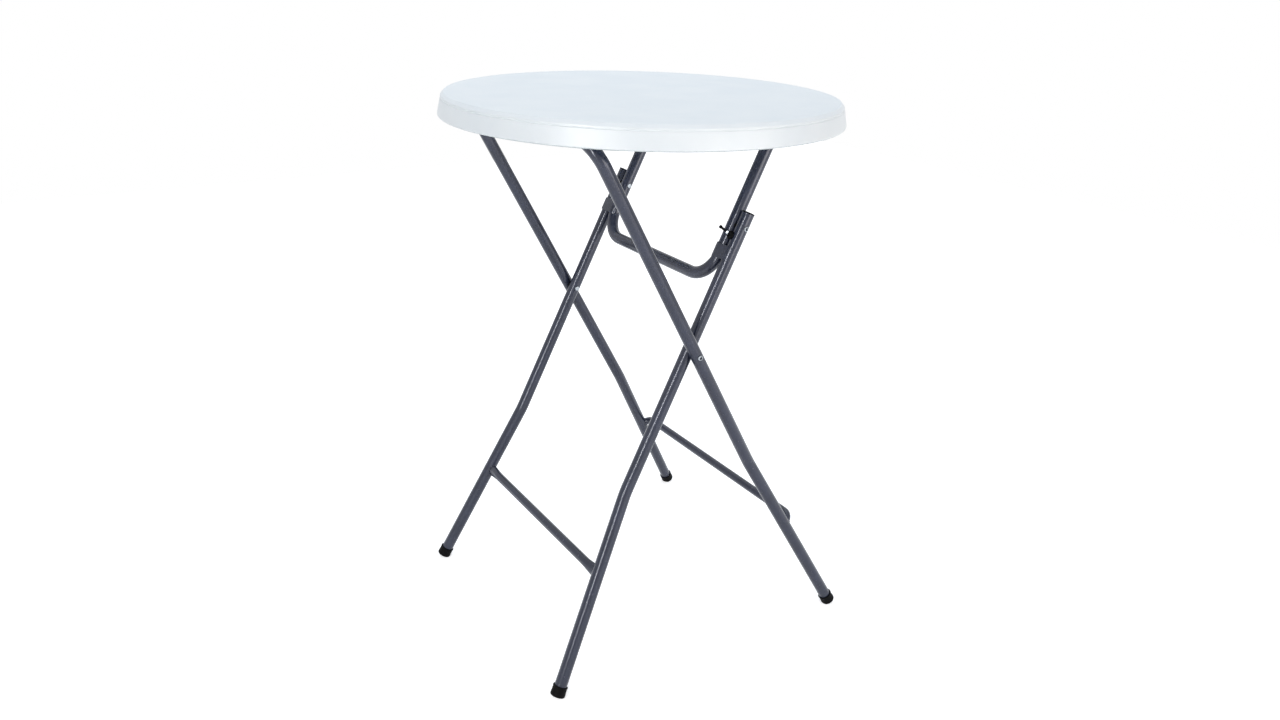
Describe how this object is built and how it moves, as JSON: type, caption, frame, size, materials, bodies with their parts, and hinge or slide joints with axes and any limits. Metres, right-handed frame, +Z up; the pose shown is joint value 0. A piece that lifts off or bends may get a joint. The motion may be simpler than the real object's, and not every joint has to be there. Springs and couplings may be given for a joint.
{
  "type": "standing table",
  "caption": "Round folding standing table: moulded top with a deep rim on a scissor frame of bent steel tube, with a folding strut and a turning latch.",
  "frame": {"origin": "on the floor under the middle of the top", "axes": "+Z up, +X towards the feet of the outer legs in the plane in which the legs fold, +Y along the pivots towards the rear; the latch is at the front, -Y"},
  "size_m": [0.8, 0.8, 1.1],
  "materials": {
    "moulded_plastic": "moulded polyethylene with a fine grain, slightly cool white",
    "coated_steel": "smooth grey powder coat on steel tube, semi-gloss",
    "black_plastic": "black moulded plastic",
    "zinc_steel": "zinc plated steel",
    "nylon": "black nylon"
  },
  "bodies": {
    "top": {"tabletop": "moulded_plastic", "outer_strap_front": "zinc_steel", "outer_strap_rear": "zinc_steel", "strut_strap_front": "zinc_steel", "strut_strap_rear": "zinc_steel", "outer_screw_front_left": "zinc_steel", "outer_screw_front_right": "zinc_steel", "outer_screw_rear_left": "zinc_steel", "outer_screw_rear_right": "zinc_steel", "strut_screw_front_left": "zinc_steel", "strut_screw_front_right": "zinc_steel", "strut_screw_rear_left": "zinc_steel", "strut_screw_rear_right": "zinc_steel"},
    "outer_legs": {"outer_leg_frame": "coated_steel", "outer_crossbar": "coated_steel", "outer_foot_front": "black_plastic", "outer_foot_rear": "black_plastic", "scissor_rivet_front": "zinc_steel", "scissor_rivet_rear": "zinc_steel", "scissor_washer_front": "nylon", "scissor_washer_rear": "nylon"},
    "inner_legs": {"inner_leg_front": "coated_steel", "inner_leg_rear": "coated_steel", "inner_crossbar": "coated_steel", "inner_foot_front": "black_plastic", "inner_foot_rear": "black_plastic", "inner_plug_front": "black_plastic", "inner_plug_rear": "black_plastic", "fold_bolt_front": "zinc_steel", "fold_bolt_rear": "zinc_steel", "fold_washer_front": "nylon", "fold_washer_rear": "nylon", "latch_catch": "black_plastic"},
    "strut": {"strut_frame": "coated_steel", "strut_axle": "coated_steel", "strut_plug_front": "black_plastic", "strut_plug_rear": "black_plastic", "strut_rest_front": "coated_steel", "strut_rest_rear": "coated_steel", "fold_nut_front": "zinc_steel", "fold_nut_rear": "zinc_steel", "latch_rivet": "zinc_steel"},
    "latch": {"latch_lever": "black_plastic"}
  },
  "joints": [
    {"name": "outer_fold", "type": "hinge", "parent": "top", "child": "outer_legs", "pos_m": [-0.2628, 0, 1.064], "axis": [0, -1, 0], "range_deg": [0, 58.5]},
    {"name": "inner_fold", "type": "hinge", "parent": "outer_legs", "child": "inner_legs", "pos_m": [-0.02319, 0, 0.63538], "axis": [0, -1, 0], "range_deg": [0, 54.45]},
    {"name": "strut_fold", "type": "hinge", "parent": "top", "child": "strut", "pos_m": [0.1885, 0, 1.064], "axis": [0, 1, 0], "range_deg": [0, 62.53]},
    {"name": "latch_turn", "type": "hinge", "parent": "strut", "child": "latch", "pos_m": [0.07376, -0.20152, 0.85506], "axis": [-0.7254, -0.5878, 0.3583], "range_deg": [0, 90]}
  ],
  "couplings": [
    {"joint": "inner_fold", "follows": "outer_fold", "ratio": 0.93061},
    {"joint": "strut_fold", "follows": "outer_fold", "ratio": 1.0688}
  ]
}
